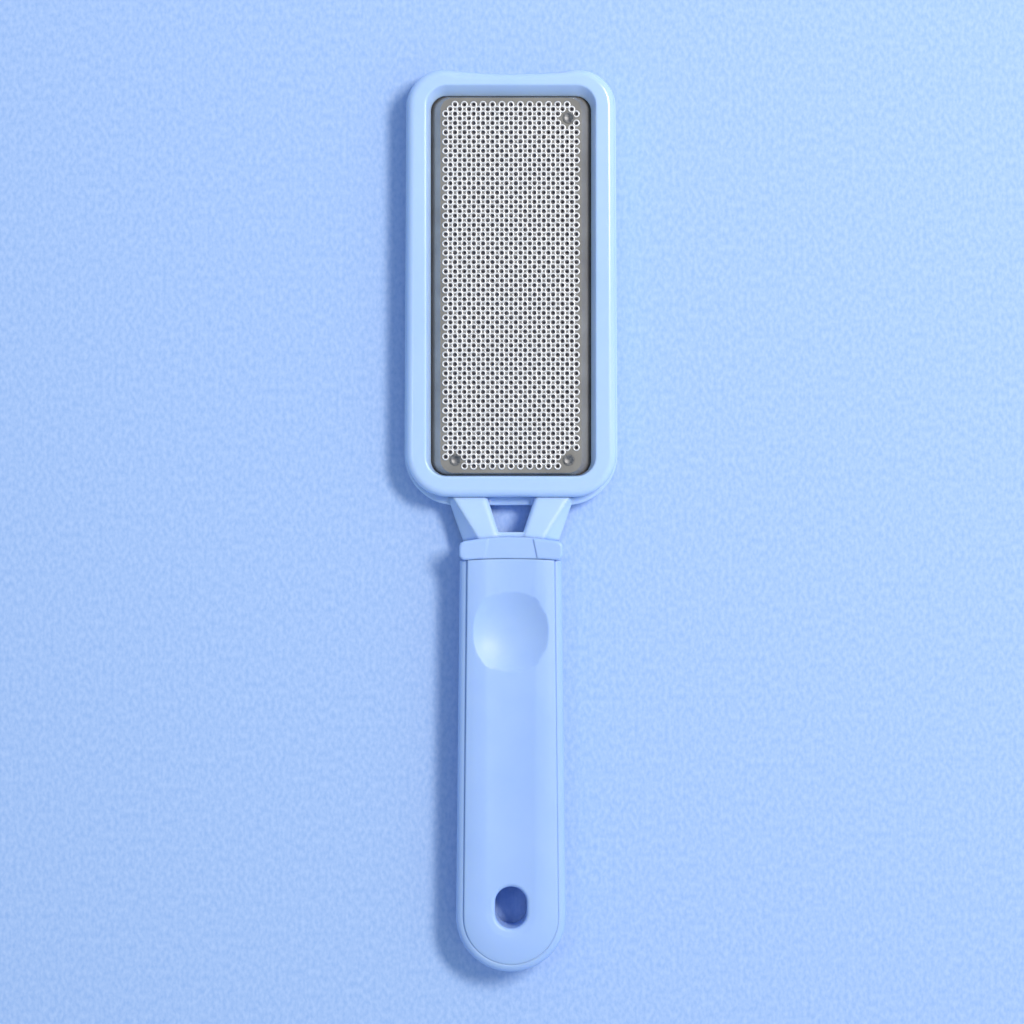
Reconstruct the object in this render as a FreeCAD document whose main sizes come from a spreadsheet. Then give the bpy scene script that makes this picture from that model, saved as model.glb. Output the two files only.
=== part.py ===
import FreeCAD, Part
import math
import os

import Sketcher

# Manual foot file: a framed perforated steel rasp on a two-strut neck and a hollow grip.
# X runs across the tool, Y along it towards the head, Z out of the rasp face. The origin is
# the middle of the footprint, on the surface that the flat back of the head lies on.

SIZES = (
    ("head_length", 128.3, "head frame, along the tool"),
    ("head_width", 62.8, "head frame at its neck end"),
    ("head_taper", 1.0, "how much narrower the head is at its far end"),
    ("head_round_low", 15.0, "plan corners at the neck end"),
    ("head_round_high", 11.0, "plan corners at the far end"),
    ("head_dip", 1.2, "hollow of the far edge"),
    ("frame_depth", 6.0, "thickness of the rear frame"),
    ("frame_round", 2.0, "rounding of the frame's back edge"),
    ("frame_edge", 0.6, "rounding of the frame's front edge"),
    ("bezel_height", 6.0, "bezel above the rear frame"),
    ("bezel_inset", 0.5, "bezel inside the frame at sides and far end"),
    ("bezel_inset_low", 2.4, "bezel inside the frame at the neck end"),
    ("bezel_crown", 2.3, "rounding of the bezel's outer top edge"),
    ("slope_side", 1.4, "inward lean of the bezel's inner wall at the sides"),
    ("slope_low", 0.4, "the same at the neck end"),
    ("slope_high", 3.0, "the same at the far end"),
    ("mouth_round", 0.5, "rounding of the bezel's inner top edge"),
    ("rail_low", 8.8, "neck end of the head to the window"),
    ("rail_high", 8.1, "far end of the head to the window"),
    ("window_width", 47.0, "window in the bezel, across"),
    ("window_round", 4.4, "plan corners of the window"),
    ("lip_reach", 2.0, "how far the plate's flange runs under the bezel"),
    ("lip_cover", 0.3, "how far the plate's folds start under the bezel"),
    ("lip_clear", 1.3, "free height over the flange under the bezel"),
    ("sheet", 0.4, "rasp plate thickness"),
    ("plate_rise", 4.3, "rasp field above its flange"),
    ("side_fold", 2.8, "plan width of the plate's folded sides"),
    ("end_fold", 0.7, "plan width of the plate's folded ends"),
    ("hole_width", 1.3, "rasp hole diameter"),
    ("hole_pitch", 2.72, "hole spacing along a column"),
    ("column_pitch", 1.37, "spacing of the hole columns"),
    ("rivet_head", 3.3, "rivet head diameter"),
    ("rivet_shank", 1.6, "rivet shank diameter"),
    ("rivet_right", 17.0, "right rivets from the centre line"),
    ("rivet_left", 16.2, "left rivet from the centre line"),
    ("rivet_low", 4.5, "near rivets from the window's neck end"),
    ("rivet_high", 6.5, "far rivet from the window's far end"),
    ("rivet_dish", 0.24, "depth of the dish in a rivet's head"),
    ("post_width", 4.4, "rivet post diameter"),
    ("gusset_reach", 3.5, "gusset beyond its rivet"),
    ("neck_length", 9.3, "head to collar"),
    ("neck_width_low", 27.9, "neck at the collar"),
    ("neck_width_high", 37.2, "neck at the bezel"),
    ("strut_width_low", 11.3, "strut at the collar"),
    ("strut_width_high", 11.6, "strut at the bezel"),
    ("strut_slope_low", 5.2, "sloped outer part of a strut at the collar"),
    ("strut_slope_high", 1.6, "sloped outer part of a strut at the bezel"),
    ("strut_top_low", 12.4, "strut top at the collar"),
    ("strut_top_high", 9.6, "strut top at the bezel"),
    ("strut_back", 1.6, "strut's back above the base"),
    ("strut_wall_low", 7.4, "top of a strut's outer wall at the collar"),
    ("strut_wall_high", 5.8, "top of a strut's outer wall at the bezel"),
    ("strut_soft", 0.9, "chamfer of a strut's inner top edge"),
    ("neck_web", 1.4, "web that closes the neck window"),
    ("web_drop", 1.0, "web below the struts' tops"),
    ("tang_length", 62.0, "tang inside the grip"),
    ("tang_width", 17.0, "tang across"),
    ("tang_depth", 5.2, "tang thickness"),
    ("tang_back", 4.2, "tang above the base"),
    ("collar_length", 6.3, "collar along the tool"),
    ("bow_high", 1.5, "bow of the collar's neck end"),
    ("bow_low", 0.6, "bow of the collar's grip end"),
    ("collar_proud", 0.15, "collar outside the grip, all round"),
    ("collar_corner", 1.8, "plan corners of the collar"),
    ("collar_edge", 0.7, "rounding of the collar's end edges"),
    ("panel_width_low", 15.7, "collar panel at the grip"),
    ("panel_width_high", 12.2, "collar panel at the neck"),
    ("panel_depth", 0.3, "recess of the collar panel"),
    ("grip_length", 121.1, "grip along the tool"),
    ("grip_width", 30.0, "grip at the collar"),
    ("grip_round", 16.1, "radius of the grip's round end"),
    ("grip_back", 0.4, "grip's back above the base"),
    ("grip_split", 10.6, "height of the joint between the grip shells"),
    ("grip_top", 15.0, "grip's highest line above the base"),
    ("grip_heel", 4.5, "rounding of the grip's back edge"),
    ("shoulder", 2.3, "rounded shoulder beside the cover"),
    ("shoulder_round", 2.5, "radius of that shoulder"),
    ("shoulder_drop", 1.4, "shoulder below the cover's ridges"),
    ("face_radius", 24.0, "cross curve of the cover outside its ridges"),
    ("ridge_width", 14.4, "spacing of the two ridges"),
    ("ridge_soft", 6.0, "rounding of the ridges"),
    ("channel_depth", 0.4, "channel between the ridges"),
    ("wall", 2.0, "grip wall"),
    ("ledge", 0.9, "ledge that the cover sits on"),
    ("lip_depth", 1.6, "cover's locating lip"),
    ("lip_wall", 1.2, "thickness of that lip"),
    ("rib_wall", 1.6, "thickness of the tang's ribs"),
    ("rib_near", 18.6, "first ribs from the collar"),
    ("rib_inset", 7.4, "last ribs from the tang's end"),
    ("lock_place", 37.2, "locking peg from the collar"),
    ("lock_width", 6.0, "peg that locks the tang"),
    ("cover_hollow", 0.5, "hollow in the cover's underside"),
    ("dimple_length", 24.4, "thumb dimple along the grip"),
    ("dimple_width", 22.2, "thumb dimple across"),
    ("dimple_depth", 2.9, "thumb dimple below the ridges"),
    ("dimple_edge", 0.35, "dimple's side edges below the ridges"),
    ("dimple_curve", 40.0, "height axis of the ellipsoid that forms the dimple"),
    ("dimple_place", 21.4, "dimple centre from the collar"),
    ("hang_width", 9.3, "hang hole across"),
    ("hang_length", 12.2, "hang hole along the grip"),
    ("hang_place", 19.1, "hang hole centre from the round end"),
    ("hang_wall", 2.2, "wall of the hang hole's boss"),
    ("hang_round", 1.1, "rounding of the hang hole's mouths"),
    ("fit_gap", 0.1, "clearance between fitted pieces"),
)

doc = FreeCAD.newDocument("foot_file")


def make_sheet():
    sheet = doc.addObject("Spreadsheet::Sheet", "Sizes")
    for row, (alias, value, meaning) in enumerate(SIZES, start=1):
        sheet.set(f"A{row}", meaning)
        sheet.set(f"B{row}", str(value))
        sheet.setAlias(f"B{row}", alias)
    doc.recompute()
    return sheet


SHEET = make_sheet()
ALIASES = tuple(alias for alias, value, meaning in SIZES)


def bound(text):
    """The expression with each size's name pointing at the sheet."""
    words = text.replace("(", " ( ").replace(")", " ) ").split()
    return " ".join("Sizes." + word if word in ALIASES else word for word in words)


def number(text):
    return float(SHEET.evalExpression(bound(text)))


# Places along the tool, all from the driving lengths.
HALF_TOOL = "( head_length + neck_length + collar_length + grip_length ) / 2"
HEAD_Y = f"{HALF_TOOL} - head_length"
COLLAR_Y = f"{HEAD_Y} - neck_length"
GRIP_Y = f"{COLLAR_Y} - collar_length"
WINDOW_TOP = "head_length - rail_high"
FIELD_Z = "frame_depth + plate_rise"
END_CENTRE = "grip_length - grip_round"
HANG_SLIDE = "( hang_length - hang_width ) / 2"
HANG_LOW = f"grip_length - hang_place + {HANG_SLIDE}"
HANG_HIGH = f"grip_length - hang_place - {HANG_SLIDE}"
RIB_PLACES = ("rib_near", "tang_length - rib_inset")
COLLAR_HALF = "grip_width / 2 + collar_proud"
NECK_RADIUS = f"( ( {COLLAR_HALF} ) ^ 2 + bow_high ^ 2 ) / ( 2 * bow_high )"
BOW_RADIUS = f"( ( {COLLAR_HALF} ) ^ 2 + bow_low ^ 2 ) / ( 2 * bow_low )"


# ---------------------------------------------------------------- drawing helpers

def new_body(label, place_y):
    body = doc.addObject("PartDesign::Body", label)
    body.Label = label
    body.setExpression("Placement.Base.y", bound(place_y))
    return body


def new_sketch(body, name, plane, lift="0"):
    """A sketch on one of the body's origin planes, moved along the plane's normal."""
    support = next(item for item in body.Origin.OriginFeatures if item.Role == plane)
    sketch = body.newObject("Sketcher::SketchObject", name)
    sketch.AttachmentSupport = [(support, "")]
    sketch.MapMode = "FlatFace"
    sketch.setExpression("AttachmentOffset.Base.z", bound(lift))
    return sketch


def hold(sketch, name, kind, *refs, size):
    """A dimension whose value comes from the sheet."""
    index = sketch.addConstraint(Sketcher.Constraint(kind, *refs, abs(number(size))))
    sketch.renameConstraint(index, name)
    sketch.setExpression(f"Constraints.{name}", bound(size))


def point(x, y):
    return FreeCAD.Vector(x, y, 0)


def arc(centre_x, centre_y, radius, start, end):
    circle = Part.Circle(point(centre_x, centre_y), FreeCAD.Vector(0, 0, 1), radius)
    return Part.ArcOfCircle(circle, math.radians(start), math.radians(end))


def pin_point(sketch, name, geo, vertex, x, y):
    """Fix a point by its distances from the sketch's axes."""
    for axis, kind, size in (("x", "DistanceX", x), ("y", "DistanceY", y)):
        value = number(size)
        if abs(value) < 1e-9:
            on_axis = -2 if axis == "x" else -1
            sketch.addConstraint(Sketcher.Constraint("PointOnObject", geo, vertex, on_axis))
        elif value > 0:
            hold(sketch, f"{name}_{axis}", kind, -1, 1, geo, vertex, size=size)
        else:
            hold(sketch, f"{name}_{axis}", kind, geo, vertex, -1, 1, size=f"-1 * ( {size} )")


def draw_polygon(sketch, corners):
    """Straight-sided outline through named corners, each pinned to the sheet."""
    places = [point(number(x), number(y)) for x, y in corners]
    first = sketch.GeometryCount
    count = len(corners)
    for step in range(count):
        line = Part.LineSegment(places[step], places[(step + 1) % count])
        sketch.addGeometry(line, False)
    for step in range(count):
        following = first + (step + 1) % count
        sketch.addConstraint(Sketcher.Constraint("Coincident", first + step, 2, following, 1))
    for step, (x, y) in enumerate(corners):
        pin_point(sketch, f"corner{first + step}", first + step, 1, x, y)


def draw_circle(sketch, name, x, y, radius):
    circle = Part.Circle(point(number(x), number(y)), FreeCAD.Vector(0, 0, 1), number(radius))
    geo = sketch.addGeometry(circle, False)
    hold(sketch, f"{name}_radius", "Radius", geo, size=radius)
    pin_point(sketch, name, geo, 3, x, y)


def draw_slot(sketch, name, half):
    """Round-ended slot along the tool, with the hang hole's two end centres."""
    radius, low, high = number(half), -number(HANG_LOW), -number(HANG_HIGH)
    base = sketch.GeometryCount
    sketch.addGeometry(Part.LineSegment(point(radius, low), point(radius, high)), False)
    sketch.addGeometry(arc(0, high, radius, 0, 180), False)
    sketch.addGeometry(Part.LineSegment(point(-radius, high), point(-radius, low)), False)
    sketch.addGeometry(arc(0, low, radius, 180, 360), False)
    for one, other in ((0, 1), (1, 2), (2, 3), (3, 0)):
        sketch.addConstraint(Sketcher.Constraint("Tangent", base + one, 2, base + other, 1))
    pin_point(sketch, f"{name}_high", base + 1, 3, "0", f"0 - ( {HANG_HIGH} )")
    pin_point(sketch, f"{name}_low", base + 3, 3, "0", f"0 - ( {HANG_LOW} )")
    hold(sketch, f"{name}_half", "Radius", base + 1, size=half)


def draw_rounded(sketch, half_low, half_high, low, high, round_low, round_high, dip=None):
    """Tapered outline with rounded corners, symmetric about X = 0. With a dip its far edge
    is a shallow hollow arc that runs into the corners."""
    wide_low, wide_high = number(half_low), number(half_high)
    y_low, y_high = number(low), number(high)
    turn_low, turn_high = number(round_low), number(round_high)
    inner_low, inner_high = wide_low - turn_low, wide_high - turn_high
    base = sketch.GeometryCount
    far_edge = Part.LineSegment(point(inner_high, y_high), point(-inner_high, y_high))
    lean = 0
    if dip:
        hollow = f"( ( {half_high} ) - ( {round_high} ) ) ^ 2 / ( 2 * ( {dip} ) )"
        hollow_radius = f"{hollow} + ( {dip} ) / 2 - ( {round_high} )"
        radius = number(hollow_radius)
        centre_y = y_high - turn_high + math.sqrt((radius + turn_high) ** 2 - inner_high ** 2)
        lean = math.degrees(math.asin(inner_high / (radius + turn_high)))
        far_edge = arc(0, centre_y, radius, 270 - lean, 270 + lean)
    shapes = (
        Part.LineSegment(point(-inner_low, y_low), point(inner_low, y_low)),
        arc(inner_low, y_low + turn_low, turn_low, -90, 0),
        Part.LineSegment(point(wide_low, y_low + turn_low), point(wide_high, y_high - turn_high)),
        arc(inner_high, y_high - turn_high, turn_high, 0, 90 + lean),
        far_edge,
        arc(-inner_high, y_high - turn_high, turn_high, 90 - lean, 180),
        Part.LineSegment(point(-wide_high, y_high - turn_high), point(-wide_low, y_low + turn_low)),
        arc(-inner_low, y_low + turn_low, turn_low, 180, 270),
    )
    for shape in shapes:
        sketch.addGeometry(shape, False)
    far_start, far_end = (2, 1) if dip else (1, 2)
    joints = ((0, 2, 1, 1), (1, 2, 2, 1), (2, 2, 3, 1), (3, 2, 4, far_start),
              (4, far_end, 5, 1), (5, 2, 6, 1), (6, 2, 7, 1), (7, 2, 0, 1))
    for one, one_end, other, other_end in joints:
        sketch.addConstraint(
            Sketcher.Constraint("Tangent", base + one, one_end, base + other, other_end))
    sketch.addConstraint(Sketcher.Constraint("Horizontal", base))
    sketch.addConstraint(Sketcher.Constraint("Equal", base + 1, base + 7))
    sketch.addConstraint(Sketcher.Constraint("Equal", base + 3, base + 5))
    hold(sketch, f"round_low{base}", "Radius", base + 1, size=round_low)
    hold(sketch, f"round_high{base}", "Radius", base + 3, size=round_high)
    for side, end, half in ((2, 1, half_low), (2, 2, half_high)):
        hold(sketch, f"right{base}_{end}", "DistanceX", -1, 1, base + side, end, size=half)
    for side, end, half in ((6, 2, half_low), (6, 1, half_high)):
        hold(sketch, f"left{base}_{end}", "DistanceX", base + side, end, -1, 1, size=half)
    hold(sketch, f"low{base}", "DistanceY", -1, 1, base + 1, 3, size=f"{low} + {round_low}")
    hold(sketch, f"high{base}", "DistanceY", -1, 1, base + 3, 3, size=f"{high} - ( {round_high} )")
    if dip:
        hold(sketch, f"far_edge{base}", "Radius", base + 4, size=hollow_radius)
        hold(sketch, f"far_high{base}", "DistanceY", -1, 1, base + 5, 3,
             size=f"{high} - ( {round_high} )")
    else:
        sketch.addConstraint(Sketcher.Constraint("Horizontal", base + 4))


def draw_tongue(sketch, inset, setback="0"):
    """The grip's plan, set in all round: bowed at the collar, with a full round end."""
    half_width = f"grip_width / 2 - ( {inset} )"
    end_radius = f"grip_round - ( {inset} )"
    bow_centre = f"{BOW_RADIUS} + fit_gap + {setback}"
    half, radius, bow = number(half_width), number(end_radius), number(BOW_RADIUS)
    centre = -number(END_CENTRE)
    bow_y = -number(bow_centre)
    spread = math.degrees(math.asin(half / bow))
    edge_y = bow_y + bow * math.cos(math.radians(spread))
    base = sketch.GeometryCount
    sketch.addGeometry(Part.LineSegment(point(radius, centre), point(half, edge_y)), False)
    sketch.addGeometry(arc(0, bow_y, bow, 90 - spread, 90 + spread), False)
    sketch.addGeometry(Part.LineSegment(point(-half, edge_y), point(-radius, centre)), False)
    sketch.addGeometry(arc(0, centre, radius, 180, 360), False)
    sketch.addConstraint(Sketcher.Constraint("Coincident", base, 2, base + 1, 1))
    sketch.addConstraint(Sketcher.Constraint("Coincident", base + 1, 2, base + 2, 1))
    sketch.addConstraint(Sketcher.Constraint("Tangent", base + 2, 2, base + 3, 1))
    sketch.addConstraint(Sketcher.Constraint("Tangent", base + 3, 2, base, 1))
    pin_point(sketch, f"bow_centre{base}", base + 1, 3, "0", f"0 - ( {bow_centre} )")
    hold(sketch, f"bow{base}", "Radius", base + 1, size=BOW_RADIUS)
    hold(sketch, f"right{base}", "DistanceX", -1, 1, base + 1, 1, size=half_width)
    hold(sketch, f"left{base}", "DistanceX", base + 1, 2, -1, 1, size=half_width)
    pin_point(sketch, f"end_centre{base}", base + 3, 3, "0", f"0 - ( {END_CENTRE} )")
    hold(sketch, f"end{base}", "Radius", base + 3, size=end_radius)


def pad(body, name, sketch, length, reverse=False):
    feature = body.newObject("PartDesign::Pad", name)
    feature.Profile = sketch
    feature.Reversed = reverse
    feature.setExpression("Length", bound(length))
    return settled(body, feature)


def pocket(body, name, sketch, length, reverse=False):
    """A cut of the given depth. It must take material away."""
    before = body.Shape.Volume
    feature = body.newObject("PartDesign::Pocket", name)
    feature.Profile = sketch
    feature.Reversed = reverse
    feature.setExpression("Length", bound(length))
    settled(body, feature)
    if body.Shape.Volume > before - 1e-3:
        raise RuntimeError(f"{name} cuts nothing")
    return feature


def loft(body, name, kind, sections):
    feature = body.newObject(kind, name)
    feature.Profile = sections[0]
    feature.Sections = list(sections[1:])
    feature.Ruled = True
    return settled(body, feature)


def settled(body, feature):
    body.Tip = feature
    doc.recompute()
    if not feature.isValid() or feature.Shape.isNull():
        raise RuntimeError(f"{feature.Name} failed: {feature.getStatusString()}")
    return feature


def round_edges(body, name, radius, chosen):
    """Round the edges of the body, in its own frame, that the test picks."""
    base = body.Tip
    names = [f"Edge{index}" for index, edge in enumerate(base.Shape.Edges, start=1)
             if chosen(edge)]
    if not names:
        raise RuntimeError(f"{name} found no edge")
    feature = body.newObject("PartDesign::Fillet", name)
    feature.Base = (base, names)
    feature.setExpression("Radius", bound(radius))
    return settled(body, feature)


def lies_at(edge, height):
    box = edge.BoundBox
    return abs(box.ZMin - height) < 1e-4 and abs(box.ZMax - height) < 1e-4


def reach(edge):
    """Greatest distance of the edge from the centre line."""
    return max(abs(edge.BoundBox.XMin), abs(edge.BoundBox.XMax))


# ---------------------------------------------------------------- head

def draw_head(sketch, side, low, trim_low):
    """The head's outline, set in by side all round and by low at the neck end."""
    draw_rounded(sketch, f"head_width / 2 - {side}", f"( head_width - head_taper ) / 2 - {side}",
                 low, f"head_length - {side}",
                 f"head_round_low - {trim_low}", f"head_round_high - {side}", "head_dip")


def draw_window(sketch, side, low=None, high=None):
    """The window's outline, grown by side all round, or by low and high at its ends."""
    half = f"window_width / 2 + {side}"
    turn = f"window_round + {side}"
    draw_rounded(sketch, half, half, f"rail_low - ( {low or side} )",
                 f"{WINDOW_TOP} + {high or side}", turn, turn)


def strut_section(body, end, place):
    """Cross-section of the right-hand strut: flat back, outer wall, sloped facet, top."""
    sketch = new_sketch(body, f"strut_{end}", "XZ_Plane", place)
    outer = f"neck_width_{end} / 2"
    inner = f"{outer} - strut_width_{end}"
    top = f"strut_top_{end}"
    draw_polygon(sketch, (
        (inner, "strut_back"),
        (outer, "strut_back"),
        (outer, f"strut_wall_{end}"),
        (f"{outer} - strut_slope_{end}", top),
        (f"{inner} + strut_soft", top),
        (inner, f"{top} - strut_soft"),
    ))
    return sketch


def rivet_places():
    """Rivets near three of the plate's four corners, as expressions in the head's frame."""
    low = "rail_low + rivet_low"
    return (("rivet_right", low), ("0 - rivet_left", low),
            ("rivet_right", f"{WINDOW_TOP} - rivet_high"))


def make_head_frame():
    body = new_body("head_frame", HEAD_Y)
    outline = new_sketch(body, "frame_outline", "XY_Plane")
    draw_head(outline, "0", "0", "0")
    pad(body, "frame_pad", outline, "frame_depth")
    round_edges(body, "frame_back_round", "frame_round", lambda edge: lies_at(edge, 0))
    depth = number("frame_depth")
    round_edges(body, "frame_front_round", "frame_edge", lambda edge: lies_at(edge, depth))

    opening = new_sketch(body, "frame_opening", "XY_Plane", "frame_depth")
    draw_window(opening, "0 - side_fold / 2")
    pocket(body, "frame_opening_cut", opening, "frame_depth")
    for index, (x, y) in enumerate(rivet_places()):
        make_rivet_post(body, index, x, y)

    low = strut_section(body, "low", "neck_length + bow_high")
    high = strut_section(body, "high", "0 - bezel_inset_low + fit_gap")
    strut = loft(body, "strut", "PartDesign::AdditiveLoft", (high, low))
    mirror_feature(body, "strut_pair", strut)
    web = new_sketch(body, "neck_web_plan", "XY_Plane", "strut_back")
    inner = "neck_width_low / 2 - strut_width_low + neck_web"
    web_low, web_high = "0 - neck_length - bow_high", "neck_web - neck_length"
    draw_polygon(web, ((f"0 - ( {inner} )", web_high), (f"0 - ( {inner} )", web_low),
                       (inner, web_low), (inner, web_high)))
    pad(body, "neck_web_pad", web, "strut_top_low - web_drop - strut_back")
    butt = new_sketch(body, "collar_butt", "XY_Plane", "strut_top_low")
    draw_butt(butt)
    pocket(body, "collar_butt_cut", butt, "strut_top_low")
    tang = new_sketch(body, "tang_section", "XZ_Plane", "neck_length - neck_web / 2")
    draw_polygon(tang, (("0 - tang_width / 2", "tang_back"), ("tang_width / 2", "tang_back"),
                        ("tang_width / 2", "tang_back + tang_depth"),
                        ("0 - tang_width / 2", "tang_back + tang_depth")))
    pad(body, "tang_pad", tang, "neck_web / 2 + collar_length + tang_length")
    lock = new_sketch(body, "tang_lock_plan", "XY_Plane", "tang_back + tang_depth")
    draw_circle(lock, "lock", "0", f"0 - neck_length - collar_length - lock_place",
                "lock_width / 2 + fit_gap")
    pocket(body, "tang_lock", lock, "tang_depth")
    return body


def draw_butt(sketch):
    """Everything behind the bowed face that the neck butts on."""
    half, radius, front = number(COLLAR_HALF), number(NECK_RADIUS), -number("neck_length")
    edge_y = front - number("bow_high")
    back_y = front - number("3 * bow_high")
    spread = math.degrees(math.asin(half / radius))
    sketch.addGeometry(arc(0, front - radius, radius, 90 - spread, 90 + spread), False)
    sketch.addGeometry(Part.LineSegment(point(-half, edge_y), point(-half, back_y)), False)
    sketch.addGeometry(Part.LineSegment(point(-half, back_y), point(half, back_y)), False)
    sketch.addGeometry(Part.LineSegment(point(half, back_y), point(half, edge_y)), False)
    for refs in ((0, 2, 1, 1), (1, 2, 2, 1), (2, 2, 3, 1), (3, 2, 0, 1)):
        sketch.addConstraint(Sketcher.Constraint("Coincident", *refs))
    back = "0 - neck_length - 3 * bow_high"
    hold(sketch, "bow", "Radius", 0, size=NECK_RADIUS)
    pin_point(sketch, "edge_left", 1, 1, f"0 - ( {COLLAR_HALF} )", "0 - neck_length - bow_high")
    pin_point(sketch, "back_left", 2, 1, f"0 - ( {COLLAR_HALF} )", back)
    pin_point(sketch, "back_right", 2, 2, COLLAR_HALF, back)
    pin_point(sketch, "edge_right", 3, 2, COLLAR_HALF, "0 - neck_length - bow_high")


def make_rivet_post(body, index, x, y):
    """A gusset in the frame's corner and the post on it that the rivet is set in."""
    side = 1 if number(x) > 0 else -1
    end = -1 if number(y) < number("head_length / 2") else 1
    wall_x = f"{side} * ( window_width / 2 )"
    wall_y = "rail_low" if end < 0 else WINDOW_TOP
    inner_x = f"{x} - {side} * gusset_reach"
    inner_y = f"{y} - {end} * gusset_reach"
    gusset = new_sketch(body, f"gusset_plan{index}", "XY_Plane")
    corners = [(inner_x, wall_y), (wall_x, wall_y), (wall_x, inner_y), (inner_x, inner_y)]
    draw_polygon(gusset, corners)
    pad(body, f"gusset{index}", gusset, "frame_depth - fit_gap")
    post = new_sketch(body, f"post_plan{index}", "XY_Plane", "frame_depth / 2")
    draw_circle(post, f"post{index}", x, y, "post_width / 2")
    pad(body, f"post{index}", post, f"{FIELD_Z} - sheet - fit_gap - frame_depth / 2")
    bore = new_sketch(body, f"post_bore_plan{index}", "XY_Plane", FIELD_Z)
    draw_circle(bore, f"bore{index}", x, y, "rivet_shank / 2 + fit_gap / 2")
    pocket(body, f"post_bore{index}", bore, "plate_rise + frame_depth / 2")


def mirror_feature(body, name, original):
    mirrored = body.newObject("PartDesign::Mirrored", name)
    plane = next(item for item in body.Origin.OriginFeatures if item.Role == "YZ_Plane")
    mirrored.Originals = [original]
    mirrored.MirrorPlane = (plane, [""])
    return settled(body, mirrored)


def make_front_bezel():
    body = new_body("front_bezel", HEAD_Y)
    outline = new_sketch(body, "bezel_outline", "XY_Plane", "frame_depth")
    draw_head(outline, "bezel_inset", "bezel_inset_low", "bezel_inset_low")
    pad(body, "bezel_pad", outline, "bezel_height")
    top = number("frame_depth + bezel_height")
    round_edges(body, "bezel_crown_round", "bezel_crown", lambda edge: lies_at(edge, top))

    mouth = new_sketch(body, "window_mouth", "XY_Plane", "frame_depth + bezel_height")
    draw_window(mouth, "slope_side", "slope_low", "slope_high")
    throat = new_sketch(body, "window_throat", "XY_Plane", "frame_depth + sheet + lip_clear")
    draw_window(throat, "0")
    loft(body, "window", "PartDesign::SubtractiveLoft", (mouth, throat))
    round_edges(body, "window_mouth_round", "mouth_round",
                lambda edge: lies_at(edge, top) and is_mouth(edge))

    rebate = new_sketch(body, "flange_rebate", "XY_Plane", "frame_depth")
    draw_window(rebate, "lip_reach + fit_gap")
    pocket(body, "flange_rebate_cut", rebate, "sheet + lip_clear", reverse=True)
    return body


def is_mouth(edge):
    """Whether the edge is on the window's mouth."""
    box = edge.BoundBox
    low = number("rail_low - slope_low")
    high = number(f"{WINDOW_TOP} + slope_high")
    inside = box.YMin > low - 1e-2 and box.YMax < high + 1e-2
    return inside and reach(edge) < number("window_width / 2 + slope_side") + 1e-2


# ---------------------------------------------------------------- rasp plate

def rounded_wire(half, low, high, radius, height):
    """Rounded rectangle, symmetric about X = 0, at the given height."""
    corners = []
    points = (point(-half, low), point(half, low), point(half, high), point(-half, high))
    turn = math.radians(90)
    edges = []
    for step, corner in enumerate(points):
        ahead = FreeCAD.Vector(math.cos(step * turn), math.sin(step * turn), 0)
        behind = FreeCAD.Vector(-math.cos((step - 1) * turn), -math.sin((step - 1) * turn), 0)
        lift = FreeCAD.Vector(0, 0, height)
        start = corner + behind * radius + lift
        end = corner + ahead * radius + lift
        centre = corner + (behind + ahead) * radius + lift
        middle = centre - (behind + ahead) * (radius / math.sqrt(2))
        corners.append((start, middle, end))
    for step, (start, middle, end) in enumerate(corners):
        edges.append(Part.Arc(start, middle, end).toShape())
        edges.append(Part.LineSegment(end, corners[(step + 1) % 4][0]).toShape())
    return Part.Wire(edges)


def hole_centres(half, low, high, corner):
    """Staggered rows of holes that fit on the flat field, clear of its corners and rivets."""
    margin = number("hole_width / 2 + fit_gap")
    clear = number("rivet_head / 2 + hole_width / 2 + fit_gap")
    across, pitch = number("column_pitch"), number("hole_pitch")
    rivets = [(number(x), number(y)) for x, y in rivet_places()]
    columns = int((2 * half - 2 * margin) / across) + 1
    for column in range(columns):
        x = (column - (columns - 1) / 2) * across
        rows = int((high - low - 2 * margin) / pitch) + 1 - column % 2
        for row in range(rows):
            y = (low + high) / 2 + (row - (rows - 1) / 2) * pitch
            out_x = max(abs(x) - half + corner, 0)
            out_y = max(low + corner - y, y - high + corner, 0)
            inside = math.hypot(out_x, out_y) < corner - margin
            if inside and all(math.hypot(x - rx, y - ry) > clear for rx, ry in rivets):
                yield x, y


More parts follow.
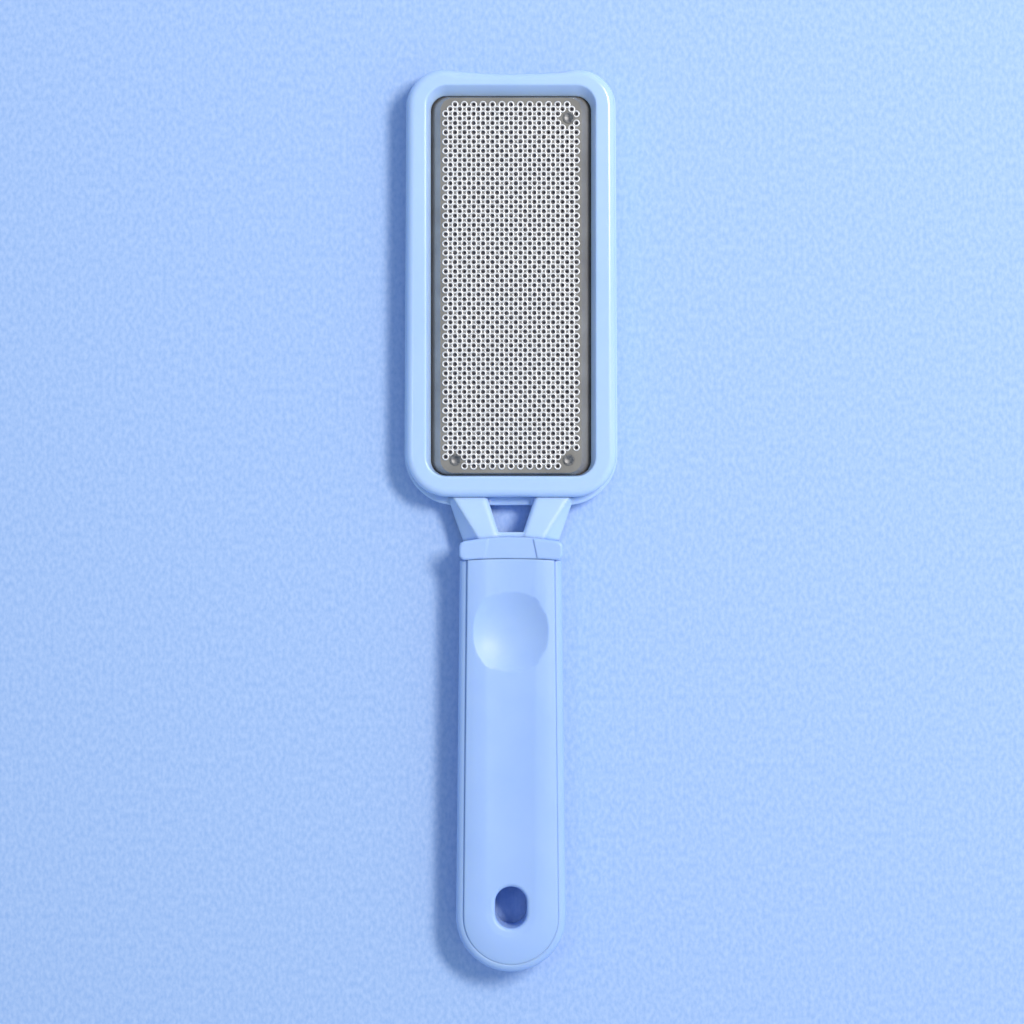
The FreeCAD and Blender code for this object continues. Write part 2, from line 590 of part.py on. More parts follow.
def make_rasp_plate():
    """Thin steel tray: flange under the bezel, folded sides, flat perforated field."""
    plate = doc.addObject("Part::Feature", "rasp_plate")
    plate.Label = "rasp_plate"
    sheet = number("sheet")
    foot = number("frame_depth")
    top = number(FIELD_Z)
    gap = number("fit_gap")
    side, end = number("side_fold + lip_cover"), number("end_fold + lip_cover")
    half = number("window_width / 2 + lip_cover")
    low, high = number("rail_low - lip_cover"), number(WINDOW_TOP) + number("lip_cover")
    corner = number("window_round + lip_cover")
    field_half, field_low, field_high = half - side, low + end, high - end

    def ring(inset, height):
        """The tray's mouth, set in by inset."""
        return rounded_wire(half - inset, low + inset, high - inset, corner - inset, height)

    def rim(inset, height):
        """The field's outline, set in by inset."""
        return rounded_wire(field_half - inset, field_low + inset, field_high - inset,
                            corner - end - inset, height)

    outer = Part.makeLoft([ring(0, foot + sheet), rim(0, top)], True, True)
    inner = Part.makeLoft([ring(sheet, foot), rim(sheet / 2, top - sheet)], True, True)
    lip = number("lip_reach - lip_cover")
    flange = Part.Face(ring(-lip, foot)).extrude(FreeCAD.Vector(0, 0, sheet))
    tray = flange.fuse(outer).cut(inner)
    middle = Part.Face(rim(sheet, top - 2 * sheet)).extrude(FreeCAD.Vector(0, 0, 3 * sheet))
    border = tray.cut(middle)
    spots = hole_centres(field_half - sheet, field_low + sheet, field_high - sheet,
                         corner - end - sheet)
    holes = [hole_wire(x, y, number("hole_width / 2"), top - sheet) for x, y in spots]
    holes += [hole_wire(number(x), number(y), number("rivet_shank / 2") + gap / 2, top - sheet)
              for x, y in rivet_places()]
    field = Part.Face([rim(sheet, top - sheet)] + holes).extrude(FreeCAD.Vector(0, 0, sheet))
    plate.Shape = border.fuse(field).removeSplitter()
    plate.Placement = FreeCAD.Placement(
        FreeCAD.Vector(0, number(HEAD_Y), 0), FreeCAD.Rotation())
    return plate


def hole_wire(x, y, radius, height):
    circle = Part.makeCircle(radius, FreeCAD.Vector(x, y, height))
    wire = Part.Wire([circle])
    wire.reverse()
    return wire


def make_rivet(index, x, y):
    """Round head with a dished top on a plain shank."""
    def place(item, z):
        item.setExpression("Placement.Base.x", bound(x))
        item.setExpression("Placement.Base.y", bound(f"{HEAD_Y} + {y}"))
        item.setExpression("Placement.Base.z", bound(z))

    head = doc.addObject("Part::Cylinder", f"rivet_head{index}")
    head.setExpression("Radius", bound("rivet_head / 2"))
    head.setExpression("Height", bound("sheet"))
    place(head, FIELD_Z)
    shank = doc.addObject("Part::Cylinder", f"rivet_shank{index}")
    shank.setExpression("Radius", bound("rivet_shank / 2"))
    shank.setExpression("Height", bound("plate_rise"))
    place(shank, f"{FIELD_Z} - plate_rise")
    blank = doc.addObject("Part::Fuse", f"rivet_blank{index}")
    blank.Base = head
    blank.Tool = shank
    dish = doc.addObject("Part::Sphere", f"rivet_dish{index}")
    dish.setExpression("Radius", bound("rivet_head"))
    place(dish, f"{FIELD_Z} + sheet - rivet_dish + rivet_head")
    rivet = doc.addObject("Part::Cut", f"rivet{index}")
    rivet.Base = blank
    rivet.Tool = dish
    return rivet


def make_plate_rivets():
    group = doc.addObject("Part::Compound", "plate_rivets")
    group.Label = "plate_rivets"
    group.Links = [make_rivet(index, x, y) for index, (x, y) in enumerate(rivet_places())]
    doc.recompute()
    return group


# ---------------------------------------------------------------- collar and grip

def tang_opening(sketch, top):
    """Rectangle round the tang with clearance, from below it up to the given height."""
    half = "tang_width / 2 + fit_gap"
    low = "tang_back - fit_gap"
    left = f"0 - ( {half} )"
    draw_polygon(sketch, ((left, low), (half, low), (half, top), (left, top)))


def make_neck_collar():
    body = new_body("neck_collar", COLLAR_Y)
    plan = new_sketch(body, "collar_plan", "XY_Plane")
    draw_bowed(plan)
    pad(body, "collar_pad", plan, "grip_top + collar_proud")
    round_edges(body, "collar_corner_round", "collar_corner", runs_up)
    round_edges(body, "collar_edge_round", "collar_edge", lambda edge: True)

    panel = new_sketch(body, "panel_plan", "XY_Plane", "grip_top + collar_proud")
    draw_polygon(panel, (
        ("0 - panel_width_low / 2", "0 - collar_length - bow_low"),
        ("panel_width_low / 2", "0 - collar_length - bow_low"),
        ("panel_width_high / 2", "bow_high"),
        ("0 - panel_width_high / 2", "bow_high")))
    pocket(body, "panel_cut", panel, "panel_depth")
    slot = new_sketch(body, "tang_slot", "XZ_Plane", "0 - bow_high")
    tang_opening(slot, "tang_back + tang_depth + fit_gap")
    pocket(body, "tang_slot_cut", slot, "collar_length + 2 * bow_high", reverse=True)
    return body


def runs_up(edge):
    box = edge.BoundBox
    return box.XLength < 1e-4 and box.YLength < 1e-4


def draw_bowed(sketch):
    """The collar's plan: straight sides, both ends bowed towards the head."""
    half, length = number(COLLAR_HALF), number("collar_length")
    high_y, low_y = -number("bow_high"), -length - number("bow_low")
    high_radius, low_radius = number(NECK_RADIUS), number(BOW_RADIUS)
    high_spread = math.degrees(math.asin(half / high_radius))
    low_spread = math.degrees(math.asin(half / low_radius))
    sketch.addGeometry(Part.LineSegment(point(half, low_y), point(half, high_y)), False)
    sketch.addGeometry(arc(0, -high_radius, high_radius, 90 - high_spread, 90 + high_spread), False)
    sketch.addGeometry(Part.LineSegment(point(-half, high_y), point(-half, low_y)), False)
    sketch.addGeometry(arc(0, -length - low_radius, low_radius, 90 - low_spread, 90 + low_spread),
                       False)
    for refs in ((0, 2, 1, 1), (1, 2, 2, 1), (2, 2, 3, 2), (3, 1, 0, 1)):
        sketch.addConstraint(Sketcher.Constraint("Coincident", *refs))
    low_edge, high_edge = "0 - collar_length - bow_low", "0 - bow_high"
    pin_point(sketch, "right_low", 0, 1, COLLAR_HALF, low_edge)
    pin_point(sketch, "right_high", 0, 2, COLLAR_HALF, high_edge)
    pin_point(sketch, "left_high", 2, 1, f"0 - ( {COLLAR_HALF} )", high_edge)
    pin_point(sketch, "left_low", 2, 2, f"0 - ( {COLLAR_HALF} )", low_edge)
    hold(sketch, "bow_high", "Radius", 1, size=NECK_RADIUS)
    hold(sketch, "bow_low", "Radius", 3, size=BOW_RADIUS)


def make_grip_shell():
    """Rear shell of the grip: a trough with a rounded shoulder, ribs and the hang boss."""
    body = new_body("grip_shell", GRIP_Y)
    plan = new_sketch(body, "shell_plan", "XY_Plane", "grip_back")
    draw_tongue(plan, "0")
    rim = "grip_top - shoulder_drop"
    pad(body, "shell_pad", plan, f"{rim} - grip_back")
    back, top = number("grip_back"), number(rim)

    def around(edge, height):
        """Edges at this height, but not the collar end's."""
        long_way = edge.BoundBox.YLength > number("grip_round") - 1
        return lies_at(edge, height) and long_way

    round_edges(body, "shell_heel", "grip_heel", lambda edge: around(edge, back))
    round_edges(body, "shell_shoulder", "shoulder_round", lambda edge: around(edge, top))
    seat = new_sketch(body, "cover_seat", "XY_Plane", rim)
    draw_tongue(seat, "shoulder", "0 - 1")
    pocket(body, "cover_seat_cut", seat, f"{rim} - grip_split")
    cavity = new_sketch(body, "cavity_plan", "XY_Plane", "grip_split")
    draw_tongue(cavity, "shoulder + ledge", "wall")
    pocket(body, "cavity_cut", cavity, "grip_split - grip_back - wall")

    entry = new_sketch(body, "tang_entry", "XZ_Plane", "0 - bow_low")
    tang_opening(entry, "grip_split + ledge")
    pocket(body, "tang_entry_cut", entry, "wall + 3 * bow_low", reverse=True)
    for index, near in enumerate(RIB_PLACES):
        rib = new_sketch(body, f"rib_plan{index}", "XY_Plane", "grip_back + wall / 2")
        draw_rib(rib, near)
        pad(body, f"rib{index}", rib, "tang_back - fit_gap - grip_back - wall / 2")
    peg = new_sketch(body, "lock_plan", "XY_Plane", "grip_back + wall / 2")
    draw_circle(peg, "lock", "0", f"0 - lock_place", "lock_width / 2")
    pad(body, "lock_peg", peg, "tang_back + tang_depth - grip_back - wall / 2")
    boss = new_sketch(body, "boss_plan", "XY_Plane", "grip_back + wall / 2")
    draw_slot(boss, "boss", "hang_width / 2 + hang_wall")
    pad(body, "boss_pad", boss, "grip_split - fit_gap - grip_back - wall / 2")
    bore = new_sketch(body, "hang_bore", "XY_Plane", "grip_split")
    draw_slot(bore, "bore", "hang_width / 2")
    pocket(body, "hang_bore_cut", bore, "grip_split")
    round_edges(body, "hang_mouth", "hang_round", lambda edge: lies_at(edge, back) and on_slot(edge))
    return body


def draw_rib(sketch, near):
    """A rib across the tang, at the given distance from the collar."""
    half = "tang_width / 2"
    draw_polygon(sketch, ((f"0 - {half}", f"0 - ( {near} )"),
                          (f"0 - {half}", f"0 - ( {near} ) - rib_wall"),
                          (half, f"0 - ( {near} ) - rib_wall"), (half, f"0 - ( {near} )")))


def on_slot(edge):
    """Whether the edge's ends both lie on the hang hole's wall."""
    low, high = -number(HANG_LOW), -number(HANG_HIGH)
    half = number("hang_width / 2")
    ends = [vertex.Point for vertex in edge.Vertexes]
    gaps = [math.hypot(place.x, place.y - min(max(place.y, low), high)) - half for place in ends]
    return all(abs(gap) < 1e-2 for gap in gaps)


def draw_half_face(sketch):
    """Half of the cover's cross-section: channel, ridge and the curve out to the side."""
    reach_x = "hang_place"
    ridge_x, top = "ridge_width / 2", "grip_top"
    channel = f"( ( {ridge_x} ) ^ 2 + channel_depth ^ 2 ) / ( 2 * channel_depth )"
    x_end, x_ridge, z_top = number(reach_x), number(ridge_x), number(top)
    z_base, face, hollow = number("grip_split"), number("face_radius"), number(channel)
    z_end = z_top - face + math.sqrt(face ** 2 - (x_end - x_ridge) ** 2)
    z_low = z_top - number("channel_depth")
    lean = math.degrees(math.acos((x_end - x_ridge) / face))
    dip = math.degrees(math.asin(x_ridge / hollow))
    sketch.addGeometry(Part.LineSegment(point(0, z_base), point(x_end, z_base)), False)
    sketch.addGeometry(Part.LineSegment(point(x_end, z_base), point(x_end, z_end)), False)
    sketch.addGeometry(arc(x_ridge, z_top - face, face, lean, 90), False)
    sketch.addGeometry(arc(0, z_low + hollow, hollow, 270, 270 + dip), False)
    sketch.addGeometry(Part.LineSegment(point(0, z_low), point(0, z_base)), False)
    for refs in ((0, 2, 1, 1), (1, 2, 2, 1), (2, 2, 3, 2), (3, 1, 4, 1), (4, 2, 0, 1)):
        sketch.addConstraint(Sketcher.Constraint("Coincident", *refs))
    pin_point(sketch, "foot", 0, 1, "0", "grip_split")
    pin_point(sketch, "side_foot", 0, 2, reach_x, "grip_split")
    sketch.addConstraint(Sketcher.Constraint("Vertical", 1))
    pin_point(sketch, "face_centre", 2, 3, ridge_x, f"{top} - face_radius")
    hold(sketch, "face", "Radius", 2, size="face_radius")
    hold(sketch, "ridge", "DistanceX", -1, 1, 2, 2, size=ridge_x)
    pin_point(sketch, "channel_centre", 3, 3, "0", f"{top} - channel_depth + {channel}")
    sketch.addConstraint(Sketcher.Constraint("PointOnObject", 3, 1, -2))


def make_grip_cover():
    """Front cover: channelled face that runs round the hang hole, dished for the thumb."""
    body = new_body("grip_cover", GRIP_Y)
    face = new_sketch(body, "half_face", "XZ_Plane", HANG_LOW)
    draw_half_face(face)
    run = pad(body, "face_run", face, HANG_LOW, reverse=True)
    mirror_feature(body, "face_pair", run)
    turn = body.newObject("PartDesign::Revolution", "face_turn")
    turn.Profile = face
    turn.ReferenceAxis = (face, ["V_Axis"])
    turn.Angle = 180
    settled(body, turn)
    if body.Shape.BoundBox.YMin > -number("grip_length"):
        turn.Reversed = True
        settled(body, turn)
    round_edges(body, "ridge_round", "ridge_soft", is_ridge)

    trim = new_sketch(body, "cover_trim", "XY_Plane", "grip_top + 1")
    draw_tongue(trim, "shoulder")
    far = "grip_length + grip_round"
    draw_polygon(trim, ((f"0 - ( {far} )", f"0 - ( {far} )"), (far, f"0 - ( {far} )"),
                        (far, "grip_round"), (f"0 - ( {far} )", "grip_round")))
    pocket(body, "cover_trim_cut", trim, "grip_top")
    split = number("grip_split")
    lip = new_sketch(body, "lip_plan", "XY_Plane", "grip_split - lip_depth")
    draw_tongue(lip, "shoulder + ledge + fit_gap", "wall + fit_gap")
    draw_tongue(lip, "shoulder + ledge + fit_gap + lip_wall", "wall + fit_gap + lip_wall")
    pad(body, "lip_pad", lip, "lip_depth + ledge")
    hollow = new_sketch(body, "cover_hollow_plan", "XY_Plane", "grip_split")
    draw_tongue(hollow, "shoulder + ledge + fit_gap + lip_wall", "wall + fit_gap + lip_wall")
    draw_slot(hollow, "island", "hang_width / 2 + hang_wall")
    pocket(body, "cover_hollow_cut", hollow, "cover_hollow", reverse=True)
    notch = new_sketch(body, "tang_notch", "XZ_Plane", "0 - bow_low")
    tang_opening(notch, "tang_back + tang_depth + fit_gap")
    pocket(body, "tang_notch_cut", notch, "wall + lip_wall + 3 * bow_low", reverse=True)
    for index, near in enumerate(RIB_PLACES):
        rib = new_sketch(body, f"rib_plan{index}", "XY_Plane", "tang_back + tang_depth + fit_gap")
        draw_rib(rib, near)
        pad(body, f"rib{index}", rib, "grip_split + cover_hollow - tang_back - tang_depth")
    cut_dimple(body)
    bore = new_sketch(body, "cover_bore", "XY_Plane", "grip_top + 1")
    draw_slot(bore, "bore", "hang_width / 2")
    pocket(body, "cover_bore_cut", bore, "grip_top")
    round_edges(body, "cover_mouth", "hang_round",
                lambda edge: edge.BoundBox.ZMin > split + number("ledge") and on_slot(edge))
    return body


def is_ridge(edge):
    """Whether the edge is the crest between the channel and the outer face."""
    box = edge.BoundBox
    top = number("grip_top")
    crest = abs(box.ZMax - top) < 1e-3 and abs(box.ZMin - top) < 1e-3
    return crest and reach(edge) < number("ridge_width / 2") + 1e-2


def cut_dimple(body):
    """An oval dish, an ellipsoid's lowest part. Its half axes are such that the dish meets
    the channel's floor at its full length and the outer face at its full width."""
    along = "dimple_length / 2 * ( dimple_curve / ( dimple_depth - channel_depth ) / 2 ) ^ 0.5"
    across = "dimple_width / 2 * ( dimple_curve / ( dimple_depth - dimple_edge ) / 2 ) ^ 0.5"
    before = body.Shape.Volume
    dish = body.newObject("PartDesign::SubtractiveEllipsoid", "thumb_dimple")
    dish.setExpression("Radius1", bound("dimple_curve"))
    dish.setExpression("Radius2", bound(across))
    dish.setExpression("Radius3", bound(along))
    dish.setExpression("Placement.Base.y", bound("0 - dimple_place"))
    dish.setExpression("Placement.Base.z", bound("grip_top - dimple_depth + dimple_curve"))
    settled(body, dish)
    if body.Shape.Volume > before - 1:
        raise RuntimeError("the thumb dimple cuts nothing")


def write_steps(pieces):
    os.makedirs("parts", exist_ok=True)
    for item in doc.Objects:
        if "Invalid" in item.State or "Error" in item.State:
            raise RuntimeError(f"{item.Name} is {item.State}")
    for piece in pieces:
        if piece.Shape.isNull() or not piece.Shape.isValid():
            raise RuntimeError(f"{piece.Label} has no sound shape")
    for piece in pieces:
        piece.Shape.exportStep(f"parts/{piece.Label}.step")


def build():
    pieces = [
        make_head_frame(),
        make_front_bezel(),
        make_rasp_plate(),
        make_plate_rivets(),
        make_neck_collar(),
        make_grip_shell(),
        make_grip_cover(),
    ]
    doc.recompute()
    write_steps(pieces)
    for piece in pieces:
        box = piece.Shape.BoundBox
        print(f"{piece.Label}: {len(piece.Shape.Solids)} solid(s), {piece.Shape.Volume:.0f} mm3, "
              f"{box.XLength:.1f} x {box.YLength:.1f} x {box.ZLength:.1f}")


build()
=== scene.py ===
import math

import bmesh
import bpy
import numpy as np
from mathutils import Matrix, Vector


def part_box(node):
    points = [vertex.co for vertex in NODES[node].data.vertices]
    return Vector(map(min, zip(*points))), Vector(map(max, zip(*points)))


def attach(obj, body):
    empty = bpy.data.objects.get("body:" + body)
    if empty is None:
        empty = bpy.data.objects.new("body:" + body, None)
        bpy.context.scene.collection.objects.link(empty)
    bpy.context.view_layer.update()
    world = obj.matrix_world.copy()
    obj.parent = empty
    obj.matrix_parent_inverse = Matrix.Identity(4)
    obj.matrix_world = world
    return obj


# Pale blue foot file lying face up on a pale floor, seen from straight above.

MM = 0.001
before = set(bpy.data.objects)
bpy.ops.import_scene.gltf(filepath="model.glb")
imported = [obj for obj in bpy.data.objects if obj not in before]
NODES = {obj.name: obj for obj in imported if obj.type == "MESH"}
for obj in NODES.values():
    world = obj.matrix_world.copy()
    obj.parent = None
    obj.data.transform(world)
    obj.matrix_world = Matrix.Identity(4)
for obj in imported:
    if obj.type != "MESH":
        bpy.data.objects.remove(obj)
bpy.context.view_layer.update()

# The rasp's lattice: holes stay clear of the rivets and out of the field's round corners.
COLUMNS, ROWS = 29, 40
COLUMN_PITCH, HOLE_PITCH = 1.37 * MM, 2.72 * MM
RIVET_HALF, RIVET_CLEAR = 1.65 * MM, 2.4 * MM
CORNER_X, CORNER_Y = 18.6 * MM, 52 * MM

# A hole's rim: its profile as (radius, height, tear) in mm, from inside the hole outwards.
BURR_SEED, BURR_SIDES = 7, 14
BURR_LEAN, BURR_TEAR, BURR_LIFT = 0.05, 0.03, 0.05
BURR_HEIGHTS = (0.85, 1.1)
TORN_SHIFT = 3
BURR_PROFILE = ((0.26, -0.38, 0), (0.58, 0.02, 0.2), (0.66, 0.24, 0.8), (0.77, 0.36, 1),
                (0.92, 0.32, 0.6), (1.05, 0.18, 0.3), (1.12, -0.02, 0))
BURR_CREST = max(rise for _, rise, _ in BURR_PROFILE)

# Materials: plastics as (light colour, deep colour, roughness, soft edge, grain).
FRAME_BLUE = ((0.45, 0.63, 0.96), (0.42, 0.60, 0.95))
GRIP_BLUE = ((0.355, 0.525, 0.90), (0.33, 0.50, 0.88))
PLASTICS = {
    "frame_plastic": (*FRAME_BLUE, 0.17, 0.7 * MM, 0.04),
    "grip_plastic": (*GRIP_BLUE, 0.38, 0.8 * MM, 0.12),
    "neck_plastic": (*FRAME_BLUE, 0.2, 1.8 * MM, 0.04),
}
PLASTIC_IOR = 1.49
BEVEL_SAMPLES = 8

# Which plastic each moulding has, and how wide its rounded edges are.
MOULDINGS = {
    "head_frame": ("neck_plastic", 0.25 * MM),
    "front_bezel": ("frame_plastic", 0.25 * MM),
    "neck_collar": ("grip_plastic", 0.2 * MM),
    "grip_shell": ("grip_plastic", 0.2 * MM),
    "grip_cover": ("grip_plastic", 0.2 * MM),
}

# The studio. Lights are (name, place, width, depth, power, colour), aimed at the origin.
FLOOR_SIZE = 6
SKY_COLOUR = (0.65, 0.81, 1, 1)
SKY_ZENITH, SKY_SIDES = 0.34, (0.5, 1.02)
ZENITH_BAND = (0.72, 0.95)
LIGHTS = (
    ("key", (0.60, 0.38, 1.05), 0.42, 0.22, 13.6, (1, 0.91, 0.79)),
    ("fill", (-0.40, 0.07, 1.1), 0.12, 0.1, 0.7, (0.8, 0.9, 1)),
)
CAMERA_PLACE = (0.3 * MM, 2.2 * MM, 0.95)
CAMERA_LENS, CAMERA_SENSOR = 112.6, 36


# ---------------------------------------------------------------- material helpers

def new_material(name):
    material = bpy.data.materials.new(name)
    material.use_nodes = True
    return material, material.node_tree, material.node_tree.nodes["Principled BSDF"]


def add(tree, kind, **inputs):
    """A node with its inputs set. An input is given by its name with _ for a space."""
    node = tree.nodes.new(kind)
    for name, value in inputs.items():
        node.inputs[name.replace("_", " ")].default_value = value
    return node


def object_place(tree):
    return tree.nodes.new("ShaderNodeTexCoord").outputs["Object"]


def noise(tree, scale, detail=4.0, stretch=(1, 1, 1)):
    """Noise in the object's own metres. A stretched axis varies more slowly."""
    mapping = tree.nodes.new("ShaderNodeMapping")
    mapping.inputs["Scale"].default_value = stretch
    tree.links.new(object_place(tree), mapping.inputs["Vector"])
    node = add(tree, "ShaderNodeTexNoise", Scale=scale, Detail=detail)
    tree.links.new(mapping.outputs["Vector"], node.inputs["Vector"])
    return node.outputs["Fac"]


def ranged(tree, value, source, target):
    node = tree.nodes.new("ShaderNodeMapRange")
    node.inputs["From Min"].default_value, node.inputs["From Max"].default_value = source
    node.inputs["To Min"].default_value, node.inputs["To Max"].default_value = target
    tree.links.new(value, node.inputs["Value"])
    return node.outputs["Result"]


def spread(tree, value, low, high):
    """Noise mapped to the range low to high."""
    return ranged(tree, value, (0.3, 0.7), (low, high))


def mix_colours(tree, factor, first, second):
    node = tree.nodes.new("ShaderNodeMix")
    node.data_type = "RGBA"
    node.inputs["A"].default_value = (*first, 1)
    node.inputs["B"].default_value = (*second, 1)
    tree.links.new(factor, node.inputs["Factor"])
    return node.outputs["Result"]


def bump(tree, shader, height, strength, distance, edge=None):
    """Surface relief. With an edge width the shading also runs softly round corners."""
    node = add(tree, "ShaderNodeBump", Strength=strength, Distance=distance)
    tree.links.new(height, node.inputs["Height"])
    if edge:
        soft = add(tree, "ShaderNodeBevel", Radius=edge)
        soft.samples = BEVEL_SAMPLES
        tree.links.new(soft.outputs["Normal"], node.inputs["Normal"])
    tree.links.new(node.outputs["Normal"], shader.inputs["Normal"])


# ---------------------------------------------------------------- materials

def moulded_plastic(name, light, deep, rough, edge, grain):
    """Glossy pale blue polypropylene: a little light passes into it, and its skin has the
    faint waviness and roughness change of a moulded part."""
    material, tree, shader = new_material(name)
    colour = mix_colours(tree, spread(tree, noise(tree, 45), 0, 1), light, deep)
    tree.links.new(colour, shader.inputs["Base Color"])
    roughness = spread(tree, noise(tree, 160), rough, rough * 1.35)
    tree.links.new(roughness, shader.inputs["Roughness"])
    shader.inputs["IOR"].default_value = PLASTIC_IOR
    shader.inputs["Subsurface Weight"].default_value = 0.25
    shader.inputs["Subsurface Radius"].default_value = (0.9, 1.2, 2.2)
    shader.inputs["Subsurface Scale"].default_value = 1.2 * MM
    bump(tree, shader, noise(tree, 1100, 3), grain, 0.1 * MM, edge)
    return material


def burr_steel():
    """Steel of the punched rims, slightly uneven: their pale colour is partly the metal's own and
    partly a painted sheen, so that they shine whatever the light's direction; down into the holes
    the colour is painted shade.
    """
    material, tree, shader = new_material("burr_steel")
    grain = noise(tree, 1500, 4)
    # Painted sheen: a near-white base with little metal makes the rims shine from any side.
    rim_sheen = mix_colours(tree, spread(tree, grain, 0, 1),
                         (0.72, 0.72, 0.74), (0.92, 0.92, 0.94))
    # Painted shade: below the rims' tops, down into the holes, the colour fades to near black.
    height = tree.nodes.new("ShaderNodeSeparateXYZ")
    tree.links.new(object_place(tree), height.inputs[0])
    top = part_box("rasp_plate")[1][2]
    raised = ranged(tree, height.outputs["Z"], (top + 0.06 * MM, top + 0.2 * MM), (0, 1))
    deep = tree.nodes.new("ShaderNodeMix")
    deep.data_type = "RGBA"
    deep.inputs["A"].default_value = (0.20, 0.19, 0.20, 1)
    tree.links.new(raised, deep.inputs["Factor"])
    tree.links.new(rim_sheen, deep.inputs["B"])
    tree.links.new(deep.outputs["Result"], shader.inputs["Base Color"])
    shader.inputs["Metallic"].default_value = 0.35
    tree.links.new(spread(tree, grain, 0.3, 0.42), shader.inputs["Roughness"])
    bump(tree, shader, grain, 0.15, 0.04 * MM)
    return material


def punched_steel():
    """Polished rolled stainless sheet: fine lengthwise scratches, uneven polish."""
    material, tree, shader = new_material("punched_steel")
    lines = noise(tree, 2600, 3, (1, 0.03, 1))
    patches = noise(tree, 110)
    colour = mix_colours(tree, spread(tree, patches, 0, 1),
                         (0.37, 0.35, 0.325), (0.49, 0.465, 0.43))
    tree.links.new(colour, shader.inputs["Base Color"])
    shader.inputs["Metallic"].default_value = 0.55
    tree.links.new(spread(tree, lines, 0.14, 0.2), shader.inputs["Roughness"])
    bump(tree, shader, lines, 0.08, 0.02 * MM)
    return material


def dark_steel():
    """Dull dark steel of the fasteners, blotched by its oxide."""
    material, tree, shader = new_material("dark_steel")
    blotches = noise(tree, 1300, 5)
    colour = mix_colours(tree, spread(tree, blotches, 0, 1),
                         (0.10, 0.105, 0.12), (0.22, 0.225, 0.24))
    tree.links.new(colour, shader.inputs["Base Color"])
    shader.inputs["Metallic"].default_value = 0.9
    tree.links.new(spread(tree, blotches, 0.38, 0.55), shader.inputs["Roughness"])
    bump(tree, shader, blotches, 0.2, 0.04 * MM)
    return material


def floor_material():
    """Pale matt felt-like paper: a fine mottle and a faint tooth."""
    material, tree, shader = new_material("pale_floor")
    fibres = noise(tree, 900, 5, (1, 0.6, 1))
    colour = mix_colours(tree, spread(tree, fibres, 0, 1),
                         (0.31, 0.475, 0.82), (0.42, 0.575, 0.89))
    tree.links.new(colour, shader.inputs["Base Color"])
    shader.inputs["Roughness"].default_value = 0.85
    shader.inputs["Specular IOR Level"].default_value = 0.15
    bump(tree, shader, fibres, 0.15, 0.1 * MM)
    return material


def paint(node, material):
    NODES[node].data.materials.clear()
    NODES[node].data.materials.append(material)


# ---------------------------------------------------------------- pieces

def soften(node, width):
    """Smooth shading with small rounded edges, as a modifier on the CAD mesh."""
    item = NODES[node]
    for polygon in item.data.polygons:
        polygon.use_smooth = True
    weld = item.modifiers.new("weld", "WELD")
    weld.merge_threshold = 0.001 * MM
    edge = item.modifiers.new("edge", "BEVEL")
    edge.width = width
    edge.segments = 3
    edge.limit_method = "ANGLE"
    edge.angle_limit = math.radians(32)
    normals = item.modifiers.new("normals", "WEIGHTED_NORMAL")
    normals.keep_sharp = True


def rivet_spots():
    """The three rivets' centres: both corners at the neck end, the right one at the far end."""
    low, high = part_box("plate_rivets")
    left, right = low[0] + RIVET_HALF, high[0] - RIVET_HALF
    near, far = low[1] + RIVET_HALF, high[1] - RIVET_HALF
    return [(right, near), (left, near), (right, far)]


def hole_spots():
    """Centres of the staggered rasp holes, clear of the rivets."""
    low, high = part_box("rasp_plate")
    middle = (low[1] + high[1]) / 2
    rivets = rivet_spots()
    for column in range(COLUMNS):
        rows = ROWS - column % 2
        x = (column - (COLUMNS - 1) / 2) * COLUMN_PITCH
        for row in range(rows):
            y = middle + (row - (rows - 1) / 2) * HOLE_PITCH
            in_corner = abs(x) > CORNER_X and abs(y - middle) > CORNER_Y
            clear = all(math.hypot(x - rx, y - ry) > RIVET_CLEAR for rx, ry in rivets)
            if clear and not in_corner:
                yield x, y


def make_burrs(material):
    """The raised, slightly torn rim that the punch leaves round every rasp hole."""
    random = np.random.default_rng(BURR_SEED)
    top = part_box("rasp_plate")[1][2]
    turns = np.linspace(0, 2 * math.pi, BURR_SIDES, endpoint=False)
    mesh = bmesh.new()
    for x, y in hole_spots():
        lean = random.normal(0, BURR_LEAN, 2) * MM
        height = random.uniform(*BURR_HEIGHTS)
        torn = random.normal(0, 1, BURR_SIDES)
        rings = []
        for radius, rise, tear in BURR_PROFILE:
            shift = lean * rise / BURR_CREST
            reach = (radius + BURR_TEAR * tear * torn) * MM
            level = top + (rise * height + BURR_LIFT * tear * np.roll(torn, TORN_SHIFT)) * MM
            rings.append([mesh.verts.new((x + shift[0] + far * math.cos(turn),
                                          y + shift[1] + far * math.sin(turn), up))
                          for turn, far, up in zip(turns, reach, level)])
        for inner, outer in zip(rings, rings[1:]):
            for step in range(BURR_SIDES):
                following = (step + 1) % BURR_SIDES
                corners = (inner[step], outer[step], outer[following], inner[following])
                mesh.faces.new(corners).smooth = True
    data = bpy.data.meshes.new("rasp_burrs")
    mesh.to_mesh(data)
    mesh.free()
    data.materials.append(material)
    burrs = bpy.data.objects.new("rasp_burrs", data)
    bpy.context.scene.collection.objects.link(burrs)
    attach(burrs, "root")


# ---------------------------------------------------------------- stage

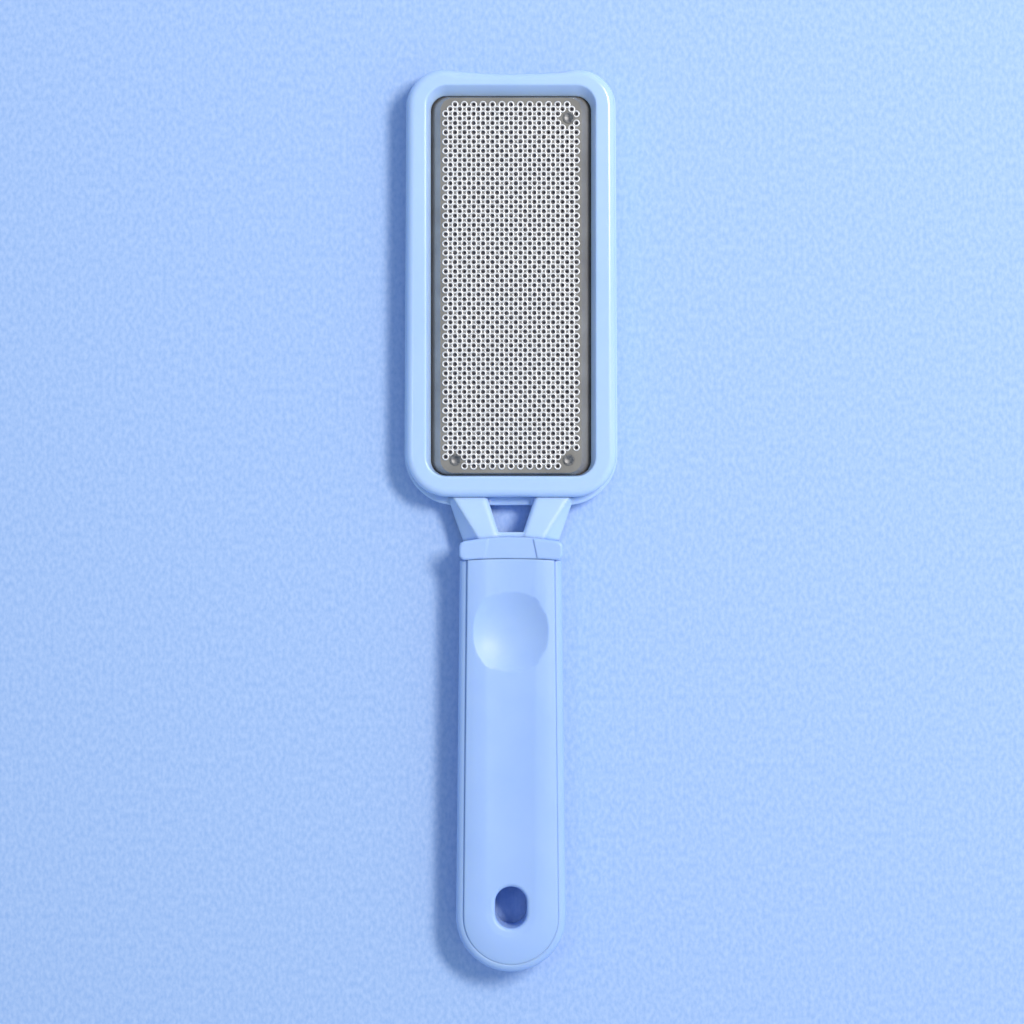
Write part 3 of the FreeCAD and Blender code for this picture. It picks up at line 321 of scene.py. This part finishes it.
def make_floor():
    bpy.ops.mesh.primitive_plane_add(size=FLOOR_SIZE)
    floor = bpy.context.object
    floor.name = "floor"
    floor.data.materials.append(floor_material())


def area_light(name, place, width, depth, power, colour):
    light = bpy.data.lights.new(name, "AREA")
    light.shape = "RECTANGLE"
    light.size, light.size_y = width, depth
    light.energy = power
    light.color = colour
    item = bpy.data.objects.new(name, light)
    item.location = place
    item.rotation_euler = (-Vector(place)).to_track_quat("-Z", "Y").to_euler()
    bpy.context.scene.collection.objects.link(item)


def make_lights():
    """A pale blue sky, darker straight above and to the left, with a warm key light high on
    the right and far side, and a weak fill on the left."""
    world = bpy.data.worlds.new("studio")
    bpy.context.scene.world = world
    world.use_nodes = True
    tree = world.node_tree
    background = tree.nodes["Background"]
    background.inputs["Color"].default_value = SKY_COLOUR
    direction = tree.nodes.new("ShaderNodeSeparateXYZ")
    tree.links.new(tree.nodes.new("ShaderNodeTexCoord").outputs["Generated"], direction.inputs[0])
    zenith = ranged(tree, direction.outputs["Z"], ZENITH_BAND, (1, SKY_ZENITH))
    sideways = ranged(tree, direction.outputs["X"], (-1, 1), SKY_SIDES)
    strength = tree.nodes.new("ShaderNodeMath")
    strength.operation = "MULTIPLY"
    tree.links.new(zenith, strength.inputs[0])
    tree.links.new(sideways, strength.inputs[1])
    tree.links.new(strength.outputs[0], background.inputs["Strength"])
    for light in LIGHTS:
        area_light(*light)


def make_camera():
    """Straight overhead, with the object's middle a little off the picture's."""
    camera = bpy.data.cameras.new("camera")
    camera.sensor_width = CAMERA_SENSOR
    camera.lens = CAMERA_LENS
    item = bpy.data.objects.new("camera", camera)
    item.location = CAMERA_PLACE
    bpy.context.scene.collection.objects.link(item)
    bpy.context.scene.camera = item


def build():
    bpy.context.scene.view_settings.view_transform = "Standard"
    plastics = {name: moulded_plastic(name, *look) for name, look in PLASTICS.items()}
    for node, (plastic, width) in MOULDINGS.items():
        paint(node, plastics[plastic])
        soften(node, width)
    paint("rasp_plate", punched_steel())
    make_burrs(burr_steel())
    paint("plate_rivets", dark_steel())
    make_floor()
    make_lights()
    make_camera()


build()
